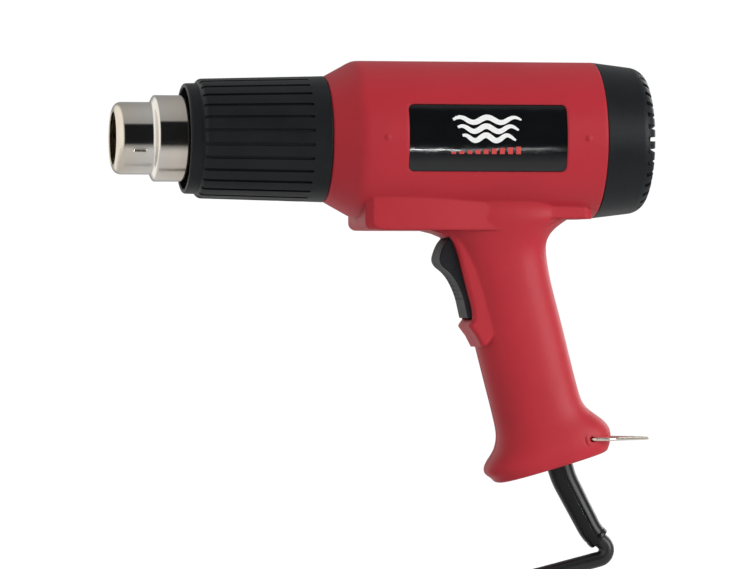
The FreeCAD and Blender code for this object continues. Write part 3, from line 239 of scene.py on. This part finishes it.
dress("nozzle_tube", "polished nickel tube", (0.66, 0.64, 0.605),
      rough=0.085, metal=1.0, grain=(1500, 0.03, 0.00002), streak=((260, 9, 9), 0.35),
      lump=(45, 1.6), mottle=(60, 0.05), rough_var=(70, 0.35), bevel=0.0005, scratch=0.06,
      tint=[(0.0, (0.80, 0.70, 0.55)), (0.004, (0.97, 0.92, 0.84)), (0.018, (1, 1, 1)),
            (0.030, (0.96, 0.92, 0.85)), (0.045, (0.70, 0.62, 0.62)),
            (0.1075, (0.52, 0.48, 0.52))])
dress("housing_screws tube_screws motor_screws clamp_screws", "zinc plated screws",
      (0.50, 0.50, 0.49), rough=0.30, metal=1.0, grain=(1800, 0.2, 0.00002),
      mottle=(400, 0.12), rough_var=(300, 0.3), bevel=0.0001)

# ------------------------------------------------------------------ heater
dress("mica_board_a mica_board_b mica_board_c mica_sleeve insulation_ring", "pressed mica",
      (0.36, 0.29, 0.175), rough=0.42, spec=0.6, grain=(700, 0.7, 0.00008),
      mottle=(130, 0.30), rough_var=(200, 0.4), lump=(150, 0.9), bevel=0.0001, sheen=0.2)
dress("heater_coil_front heater_coil_rear", "oxidised heating wire", (0.24, 0.22, 0.20),
      rough=0.45, metal=1.0, grain=(3000, 0.4, 0.00003), mottle=(300, 0.3),
      rough_var=(300, 0.3), bevel=0)
dress("heater_base", "unglazed ceramic", (0.66, 0.63, 0.56),
      rough=0.75, grain=(1600, 0.6, 0.00005), mottle=(160, 0.08), bevel=0.0002)
dress("heater_terminals switch_terminals contact_leaf brush_springs board_posts",
      "stamped brass", (0.62, 0.46, 0.22), rough=0.32, metal=1.0,
      grain=(1500, 0.2, 0.00003), streak=((30, 2000, 30), 0.4), mottle=(200, 0.15),
      bevel=0.0001)
dress("thermal_cutout", "drawn cutout case", (0.55, 0.54, 0.52),
      rough=0.30, metal=1.0, grain=(1500, 0.15, 0.00003), mottle=(200, 0.1), bevel=0.0002)

# ------------------------------------------------------------------ fan and motor
dress("fan_housing motor_end_cap cord_clamp", "natural nylon", (0.58, 0.55, 0.47),
      rough=0.55, grain=(1400, 0.5, 0.00005), mottle=(80, 0.10), rough_var=(80, 0.2),
      bevel=0.0003, sheen=0.1)
dress("fan_impeller", "fan plastic", (0.020, 0.021, 0.023),
      rough=0.48, grain=(2200, 0.4, 0.00004), mottle=(80, 0.2), bevel=0.0002, dust=0.12)
dress("motor_can motor_shaft armature_core rocker_axle", "zinc passivated can",
      (0.52, 0.51, 0.48), rough=0.27, metal=1.0, grain=(1200, 0.2, 0.00003),
      streak=((2400, 30, 30), 0.35), mottle=(120, 0.10), rough_var=(120, 0.3), bevel=0.0002)
dress("motor_magnets", "sintered ferrite", (0.045, 0.045, 0.05),
      rough=0.6, grain=(1500, 0.8, 0.00006), mottle=(250, 0.25), bevel=0.0002)
dress("motor_bushes", "sintered bronze", (0.45, 0.29, 0.13),
      rough=0.42, metal=1.0, grain=(2600, 0.8, 0.00005), mottle=(500, 0.25), bevel=0.0001)
dress("armature_windings commutator", "enamelled copper", (0.58, 0.20, 0.075),
      rough=0.25, metal=1.0, coat=0.6, grain=(900, 0.3, 0.00005),
      streak=((60, 60, 2600), 1.0), mottle=(160, 0.2), bevel=0.0001)

# ------------------------------------------------------------------ board and switch
dress("rectifier_board", "board laminate", (0.20, 0.125, 0.045),
      rough=0.5, grain=(1600, 0.3, 0.00004), streak=((1500, 60, 60), 0.4),
      mottle=(140, 0.15), bevel=0.0001)
dress("rectifier_diodes", "moulded epoxy", (0.018, 0.018, 0.019),
      rough=0.35, grain=(2400, 0.4, 0.00003), mottle=(400, 0.3), bevel=0.0001)
dress("suppression_capacitor", "dipped capacitor", (0.42, 0.15, 0.03),
      rough=0.22, coat=0.6, grain=(700, 0.4, 0.00006), mottle=(300, 0.15), bevel=0.0002)
dress("rocker", "rocker plastic", (0.019, 0.020, 0.0225),
      rough=0.42, spec=0.07, grain=(3400, 0.7, 0.00007), mottle=(80, 0.15),
      rough_var=(90, 0.15), bevel=0.0004, dust=0.012)
dress("switch_body switch_plunger", "switch plastic", (0.016, 0.016, 0.018),
      rough=0.40, grain=(2400, 0.4, 0.00005), mottle=(90, 0.2), bevel=0.0003)

# ------------------------------------------------------------------ loop, cord, plug and leads
dress("hang_loop", "plated loop wire", (0.66, 0.60, 0.52),
      rough=0.22, metal=1.0, grain=(2500, 0.10, 0.00002), mottle=(240, 0.10),
      rough_var=(300, 0.4), bevel=0, scratch=0.06)
boot_vinyl = dress(
    "cord_boot", "gloss soft vinyl", (0.0042, 0.0045, 0.0050),
    rough=0.27, spec=0.24, coat=0.05, coat_rough=0.12, grain=(700, 0.4, 0.00005),
    lump=(60, 2.0), mottle=(70, 0.2), rough_var=(60, 0.45), bevel=0, dust=0.012)
cord_vinyl = dress(
    "cord_sheath", "satin vinyl cord", (0.0085, 0.0088, 0.0095),
    rough=0.36, spec=0.42, grain=(900, 0.5, 0.00006), lump=(160, 1.6),
    mottle=(90, 0.2), rough_var=(80, 0.35), bevel=0, dust=0.02)
plug_vinyl = dress(
    "plug_body", "moulded vinyl plug", (0.010, 0.0102, 0.011),
    rough=0.40, spec=0.45, grain=(1800, 0.6, 0.00006), mottle=(80, 0.2),
    rough_var=(70, 0.3), bevel=0.0003, dust=0.08)
dress("plug_pins", "plated plug pins", (0.66, 0.62, 0.55),
      rough=0.22, metal=1.0, grain=(2000, 0.15, 0.00003), streak=((60, 2500, 60), 0.3),
      mottle=(300, 0.1), rough_var=(300, 0.4), bevel=0.0002, scratch=0.1)
INSULATION = dict(rough=0.35, grain=(1500, 0.2, 0.00004), mottle=(200, 0.12), bevel=0)
dress("live_core", "brown core", (0.10, 0.035, 0.012), **INSULATION)
dress("neutral_core", "blue core", (0.012, 0.055, 0.30), **INSULATION)
dress("heater_leads", "braided sleeving", (0.62, 0.58, 0.50),
      rough=0.85, grain=(1500, 1.2, 0.00012), streak=((1800, 1800, 300), 0.8),
      mottle=(900, 0.18), bevel=0, sheen=0.4)
dress("motor_leads", "lead insulation", (0.36, 0.02, 0.015), **INSULATION)

# ------------------------------------------------------------------ label inks
INK_LOOK = dict(rough=0.42, grain=(2600, 0.4, 0.00002), rough_var=(500, 0.2), bevel=0)
white_ink = material("printed white ink", (0.80, 0.80, 0.79), mottle=(900, 0.06), **INK_LOOK)
red_ink = material("printed red ink", (0.55, 0.045, 0.04), mottle=(900, 0.10), **INK_LOOK)


# ------------------------------------------------------------------ mesh helpers
def link(made):
    scene.collection.objects.link(made)
    return made


def mesh_object(name, verts, faces, mat, smooth=True):
    mesh = bpy.data.meshes.new(name)
    mesh.from_pydata([tuple(v) for v in verts], [], faces)
    mesh.validate()
    mesh.update()
    for polygon in mesh.polygons:
        polygon.use_smooth = smooth
    mesh.materials.append(mat)
    return link(bpy.data.objects.new(name, mesh))


def gun_part(name, verts, faces, mat, slot, replaces=None, smooth=True):
    """A closed mesh, facing outwards, that belongs to the gun."""
    made = mesh_object(name, verts, faces, mat, smooth)
    bm = bmesh.new()
    bm.from_mesh(made.data)
    bmesh.ops.recalc_face_normals(bm, faces=bm.faces)
    bm.to_mesh(made.data)
    bm.free()
    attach(made, "gun")
    if replaces:
        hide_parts(replaces)


def ring_quads(rings, seg):
    """Quads joining successive rings of seg points."""
    faces = []
    for i in range(rings - 1):
        for k in range(seg):
            a, b = i * seg + k, i * seg + (k + 1) % seg
            faces.append((a, b, b + seg, a + seg))
    return faces


def tube(name, path, radius, seg, profile=lambda angle: 1.0, **part):
    """Sweep radius(distance, length), scaled round the section by profile, along a path."""
    distances = [0.0]
    for i in range(1, len(path)):
        distances.append(distances[-1] + (path[i] - path[i - 1]).length)
    verts = []
    for i, point in enumerate(path):
        along = (path[min(i + 1, len(path) - 1)] - path[max(i - 1, 0)]).normalized()
        side = along.cross(Vector((0, 1, 0))).normalized()
        across = side.cross(along).normalized()
        ring_radius = radius(distances[i], distances[-1])
        for k in range(seg):
            angle = 2 * math.pi * k / seg
            r = ring_radius * profile(angle)
            verts.append(point + side * (r * math.cos(angle)) + across * (r * math.sin(angle)))
    faces = ring_quads(len(path), seg)
    faces.append(tuple(range(seg))[::-1])
    faces.append(tuple((len(path) - 1) * seg + k for k in range(seg)))
    gun_part(name, verts, faces, **part)


def arc_line(points, bends, step):
    """Points along straight runs whose corners are turned on arcs of the given radii."""
    corners = [Vector(p) for p in points]
    line, start = [corners[0]], corners[0]
    for i in range(1, len(corners)):
        along = (corners[i] - corners[i - 1]).normalized()
        end = corners[i]
        turns = i < len(corners) - 1
        if turns:
            onward = (corners[i + 1] - corners[i]).normalized()
            turn = along.angle(onward)
            bend = bends[i - 1]
            setback = bend * math.tan(turn / 2)
            end = corners[i] - along * setback
        count = max(1, int((end - start).length / step))
        line += [start.lerp(end, k / count) for k in range(1, count + 1)]
        if turns:
            side = (onward - along * along.dot(onward)).normalized()
            centre = end + side * bend
            count = max(3, int(bend * turn / (step * 0.55)))
            for k in range(1, count + 1):
                t = turn * k / count
                line.append(centre - side * (bend * math.cos(t)) + along * (bend * math.sin(t)))
            start = corners[i] + onward * setback
    return [p * MM for p in line]


# ------------------------------------------------------------------ cord and boot (mm)
PLUG_Z = -214.0
# corners shared by the cord and the boot round it, then the corner only the cord turns
KNEES = [(217.56, 0, -161.3), (231.6, 0, -187.8)]
KNEE_BENDS = [40.0, 20.0]
BOOT = [(213.56, 0, -147.54), *KNEES, (235.2, 0, -190.82)]
CORD = [(209.8, 0, -134.6), *KNEES, (244.0, 0, -198.2), (200.0, 0, -209.2),
        (160.0, 0, PLUG_Z), (112.0, 0, PLUG_Z)]
CORD_BENDS = [*KNEE_BENDS, 4.6, 60.0, 120.0]
CORD_RADIUS = 3.8
BOOT_TOP_RADIUS, BOOT_END_RADIUS = 6.4, 5.5
COLLAR_LENGTH, COLLAR_RISE = 2.6, 0.16
NECK_LENGTH, NECK_DEPTH = 0.8, 0.22  # groove beside the collar


def boot_radius(distance, length):
    """A taper with a rolled collar at the free end."""
    taper = (BOOT_END_RADIUS - BOOT_TOP_RADIUS) * (distance / length)
    r = (BOOT_TOP_RADIUS + taper) * MM
    to_end = (length - distance) / MM
    if to_end < COLLAR_LENGTH:
        half = COLLAR_LENGTH / 2
        r += COLLAR_RISE * MM * math.sqrt(max(0.0, 1 - ((to_end - half) / half) ** 2))
    elif to_end < COLLAR_LENGTH + NECK_LENGTH:
        r -= NECK_DEPTH * MM * math.sin(math.pi * (to_end - COLLAR_LENGTH) / NECK_LENGTH)
    return r


def cord_radius(distance, length):
    """A slight swelling and thinning along the cord."""
    return CORD_RADIUS * MM * (1 + 0.006 * math.sin(distance * 900))


tube("boot_skin", arc_line(BOOT, KNEE_BENDS, step=1.0), boot_radius, seg=40,
     mat=boot_vinyl, slot="boot_pvc", replaces="cord_boot")
tube("cord_skin", arc_line(CORD, CORD_BENDS, step=1.6), cord_radius, seg=28,
     profile=lambda angle: 1.0 - 0.02 * math.cos(2 * angle),
     mat=cord_vinyl, slot="cord_pvc", replaces="cord_sheath")

# ------------------------------------------------------------------ plug (mm)
# x, half width in y, half height in z, squareness (2 is an ellipse)
PLUG_SECTIONS = [
    (66.0, 16.0, 6.6, 4.0), (66.35, 16.8, 7.3, 4.0), (67.2, 17.4, 7.8, 4.0),
    (72.0, 17.8, 7.95, 3.8), (80.0, 18.0, 8.0, 3.6), (86.5, 16.9, 7.9, 3.4),
    (92.0, 15.0, 7.6, 3.2), (96.5, 12.1, 7.15, 2.9), (101.0, 9.4, 6.6, 2.6),
    (105.0, 7.2, 6.0, 2.3), (110.0, 5.8, 5.6, 2.1),
]
PLUG_STEPS = 4  # sections made from each pair above
PLUG_SEG = 56
RELIEF_START, RELIEF_END = PLUG_SECTIONS[-1][0], 120.0
RELIEF_STEP = 0.4
RIB_PITCH, RIB_HEIGHT = 3.2, 0.42
GRIP_START, GRIP_END = 76.0, 92.5
GRIP_PITCH, GRIP_DEPTH = 3.3, 0.035  # depth is a share of the half width
GRIP_EDGE = 0.75  # the grooves lie where the cosine round the section passes this


def plug_sections():
    """The body sections, then the ribbed strain relief."""
    sections = []
    for this, following in zip(PLUG_SECTIONS, PLUG_SECTIONS[1:]):
        for k in range(PLUG_STEPS):
            f = k / PLUG_STEPS
            sections.append(tuple(a + (b - a) * f for a, b in zip(this, following)))
    x = RELIEF_START
    while x <= RELIEF_END:
        run = x - RELIEF_START
        rib = RIB_HEIGHT * math.sin(run * 2 * math.pi / RIB_PITCH)
        sections.append((x, 5.5 - 0.05 * run + rib, 5.35 - 0.04 * run + rib, 2.0))
        x += RELIEF_STEP
    return sections


def superellipse(half, wave, power):
    return half * math.copysign(abs(wave) ** (2 / power), wave)


def build_plug():
    sections = plug_sections()
    verts = []
    for x, half_width, half_height, power in sections:
        for k in range(PLUG_SEG):
            t = 2 * math.pi * k / PLUG_SEG
            y = superellipse(half_width, math.cos(t), power)
            z = superellipse(half_height, math.sin(t), power)
            if GRIP_START < x < GRIP_END and abs(math.cos(t)) > GRIP_EDGE:
                groove = 0.5 * (1 - math.cos((x - GRIP_START) * 2 * math.pi / GRIP_PITCH))
                y *= 1 - GRIP_DEPTH * groove
            verts.append(Vector((x, y, PLUG_Z + z)) * MM)
    faces = ring_quads(len(sections), PLUG_SEG)
    faces.append(tuple(range(PLUG_SEG)))
    faces.append(tuple((len(sections) - 1) * PLUG_SEG + k for k in range(PLUG_SEG))[::-1])
    gun_part("plug_skin", verts, faces, plug_vinyl, slot="plug_pvc", replaces="plug_body")


build_plug()

# ------------------------------------------------------------------ label print (mm)
# On the -Y side of the barrel: waves of rising air over a heat scale. z is measured round it.
PRINT_RADIUS = 36.93
INK_THICKNESS = 0.07
WAVE_POINTS = 65
WAVE_TOP, WAVE_DROP = 8.6, 4.3  # z of the first wave, spacing of the others below it
WAVE_HEIGHT, WAVE_CYCLES = 1.25, 2.5
SCALE_X, SCALE_PITCH, SCALE_FOOT = 156.4, 3.9, -7.6
BAR_WIDTH, BAR_HEIGHT, BAR_GROWTH = 2.3, 1.0, 0.32


def on_barrel(x, z, r):
    angle = z / r
    return Vector((x, -r * math.cos(angle), r * math.sin(angle))) * MM


def ribbon(name, line, width, mat, slot):
    """A raised ink stroke, width(share of its length) wide, along (x, z) points."""
    verts, faces = [], []
    n = len(line)
    for i, (x, z) in enumerate(line):
        x0, z0 = line[max(0, i - 1)]
        x1, z1 = line[min(n - 1, i + 1)]
        length = math.hypot(x1 - x0, z1 - z0)
        across_x, across_z = -(z1 - z0) / length, (x1 - x0) / length
        w = width(i / (n - 1))
        for r in (PRINT_RADIUS, PRINT_RADIUS + INK_THICKNESS):
            verts.append(on_barrel(x + across_x * w / 2, z + across_z * w / 2, r))
            verts.append(on_barrel(x - across_x * w / 2, z - across_z * w / 2, r))
    for a in range(0, 4 * (n - 1), 4):
        faces += [(a + 2, a + 3, a + 7, a + 6), (a, a + 4, a + 5, a + 1),
                  (a, a + 2, a + 6, a + 4), (a + 1, a + 5, a + 7, a + 3)]
    faces += [(0, 1, 3, 2), (4 * n - 4, 4 * n - 2, 4 * n - 1, 4 * n - 3)]
    gun_part(name, verts, faces, mat, slot, smooth=False)


def wave_width(share):
    """Wide in the middle, thin at the ends."""
    return 0.55 + 2.1 * math.sin(math.pi * (share * 0.94 + 0.05)) ** 0.6


for j in range(3):
    start_x, end_x = 156.2 + 2.2 * j, 189.0 - 1.4 * j
    points = []
    for i in range(WAVE_POINTS):
        f = i / (WAVE_POINTS - 1)
        swing = WAVE_HEIGHT * math.sin(f * 2 * math.pi * WAVE_CYCLES + 0.5 * j)
        points.append((start_x + (end_x - start_x) * f, WAVE_TOP - WAVE_DROP * j + swing))
    ribbon("label_wave_%d" % (j + 1), points, wave_width, white_ink, "silver_label")
for j in range(9):
    x = SCALE_X + j * SCALE_PITCH
    height = BAR_HEIGHT + BAR_GROWTH * j
    points = [(x, SCALE_FOOT + height * f) for f in (0, 0.5, 1)]
    ribbon("label_scale_%d" % (j + 1), points, lambda share: BAR_WIDTH, red_ink, "red_plastic")

visual_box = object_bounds()

# ------------------------------------------------------------------ floor (metres)
FLOOR_CENTRE = (0.126, 0, visual_box[0].z - 0.0004)
FLOOR_RINGS = [0.15, 0.3, 0.6, 1.0, 1.6, 2.4]
FLOOR_SEG = 96
FADE_START, FADE_END = 0.16, 0.75  # distances over which the floor turns transparent


def floor_material():
    made = bpy.data.materials.new("pale floor")
    graph = Graph(made)
    clouds = graph.noise(Scale=40.0, Detail=4.0)
    pale = graph.ramp(clouds, [(0.3, grey(0.91)), (0.7, grey(0.945))])
    diffuse = graph.add("BsdfDiffuse", "BSDF", Color=pale)
    # lifts the floor for the camera alone
    lift = graph.math("MULTIPLY", graph.add("LightPath", "Is Camera Ray"), 0.40)
    glow = graph.add("Emission", "Emission", Color=(1, 1, 1, 1), Strength=lift)
    lit = graph.add("AddShader", "Shader", diffuse, glow)
    position = graph.add("NewGeometry", "Position")
    distance = graph.add("VectorMath", "Value", position, FLOOR_CENTRE, operation="DISTANCE")
    fade = graph.smooth(distance, FADE_START, FADE_END)
    clear = graph.add("BsdfTransparent", "BSDF")
    faded = graph.add("MixShader", "Shader", fade, lit, clear)
    graph.surface("ShaderNodeOutputMaterial", faded)
    return made


def build_floor():
    centre_x, centre_y, floor_z = FLOOR_CENTRE
    verts = [FLOOR_CENTRE]
    for r in FLOOR_RINGS:
        for k in range(FLOOR_SEG):
            a = 2 * math.pi * k / FLOOR_SEG
            verts.append((centre_x + r * math.cos(a), centre_y + r * math.sin(a), floor_z))
    faces = [(0, 1 + k, 1 + (k + 1) % FLOOR_SEG) for k in range(FLOOR_SEG)]
    for a, b, c, d in ring_quads(len(FLOOR_RINGS), FLOOR_SEG):
        faces.append((a + 1, d + 1, c + 1, b + 1))
    mesh_object("pale_floor", verts, faces, floor_material())


build_floor()


# ------------------------------------------------------------------ world
def build_world():
    """White to the camera; to shiny parts, a pale tent with a dark opening at the viewer."""
    world = bpy.data.worlds.new("studio")
    scene.world = world
    graph = Graph(world)

    def background(strength, color=(1, 1, 1, 1)):
        return graph.add("Background", "Background", Color=color, Strength=strength)

    def both(a, b):
        return graph.math("MULTIPLY", a, b)

    def below(value, low, high):
        return graph.math("SUBTRACT", 1.0, graph.smooth(value, low, high))

    direction = graph.add("TexCoord", "Generated")
    x, y, z = graph.add("SeparateXYZ", "X", Vector=direction).node.outputs

    # the dark opening, bounded on every side
    front = graph.smooth(both(y, -1.0), 0.20, 0.40)
    band = both(graph.smooth(z, -0.56, -0.50), below(z, 0.66, 0.74))
    sides = both(below(x, 0.40, 0.60), graph.smooth(x, -0.22, -0.08))
    opening = both(both(band, front), sides)

    # the tent from bottom to top, brighter on the -X side
    height = graph.add("MapRange", "Result", From_Min=-1.0, From_Max=1.0, Value=z)
    tent = graph.ramp(height, [(0.0, grey(0.52)), (0.25, grey(0.37)), (0.5, grey(0.40)),
                               (0.75, grey(0.38)), (0.9, grey(0.44)), (1.0, grey(0.52))])
    left = graph.smooth(both(x, -1.0), 0.12, 0.45)
    tent = graph.add("Mix", "Result", data_type="RGBA",
                     Factor=left, A=tent, B=(1.25, 1.22, 1.18, 1))
    reflected = graph.add("Mix", "Result", data_type="RGBA",
                          Factor=opening, A=tent, B=(0.012, 0.013, 0.015, 1))

    rays = graph.add("LightPath", "Is Camera Ray").node.outputs
    lighting = graph.add("MixShader", "Shader", rays["Is Glossy Ray"],
                         background(0.47), background(1.0, reflected))
    seen = graph.add("MixShader", "Shader", rays["Is Camera Ray"], lighting, background(1.02))
    graph.surface("ShaderNodeOutputWorld", seen)


build_world()

# ------------------------------------------------------------------ lights (metres)
LIT_CENTRE = (0.13, 0, -0.06)


def area(name, place, size, power, aim=LIT_CENTRE, size_y=None, glossy=True):
    light = bpy.data.lights.new(name, "AREA")
    light.shape = "RECTANGLE"
    light.size = size
    light.size_y = size_y or size
    light.energy = power
    made = link(bpy.data.objects.new(name, light))
    made.location = place
    made.rotation_mode = "QUATERNION"
    made.rotation_quaternion = (Vector(aim) - Vector(place)).to_track_quat("-Z", "Y")
    made.visible_camera = False
    made.visible_glossy = glossy


def towards(direction, distance):
    return Vector(LIT_CENTRE) + Vector(direction).normalized() * distance


area("key", towards((0.80, -0.62, 0.22), 1.7), size=0.9, power=17.5)
area("front", towards((0.25, -1.0, 0.30), 1.9), size=0.8, power=6.0, glossy=False)
area("rim", towards((0.9, 0.75, 0.35), 1.6), size=0.9, power=7.0)
area("top", towards((0.1, 0.1, 1.0), 1.5), size=1.0, power=2.5, glossy=False)
# small lights low on the right of the viewer, seen in the gloss of the label
area("glint_a", (0.372, -1.13, -0.325), aim=(0.150, -0.037, -0.005),
     size=0.055, size_y=0.013, power=0.30)
area("glint_b", (0.446, -1.13, -0.285), aim=(0.205, -0.037, -0.003),
     size=0.030, size_y=0.06, power=0.05)

# ------------------------------------------------------------------ camera (metres)
VIEW_CENTRE = Vector((0.12584, 0, -0.068875))
VIEW_WIDTH = 0.35625  # width seen at the view centre
VIEW_DISTANCE = 2.5
VIEW_TURN = math.radians(-11.0)  # about Z from -Y; negative stands towards -X
SENSOR_MM = 36.0


def build_camera():
    lens = bpy.data.cameras.new("camera")
    camera = link(bpy.data.objects.new("camera", lens))
    lens.sensor_width = SENSOR_MM
    lens.lens = SENSOR_MM * VIEW_DISTANCE / VIEW_WIDTH
    lens.clip_start, lens.clip_end = 0.05, 60
    back = Vector((math.sin(VIEW_TURN), -math.cos(VIEW_TURN), 0))
    camera.location = VIEW_CENTRE + back * VIEW_DISTANCE
    camera.rotation_mode = "QUATERNION"
    camera.rotation_quaternion = (-back).to_track_quat("-Z", "Y")
    scene.camera = camera


build_camera()
scene.view_settings.view_transform = "Standard"
scene.view_settings.look = "None"
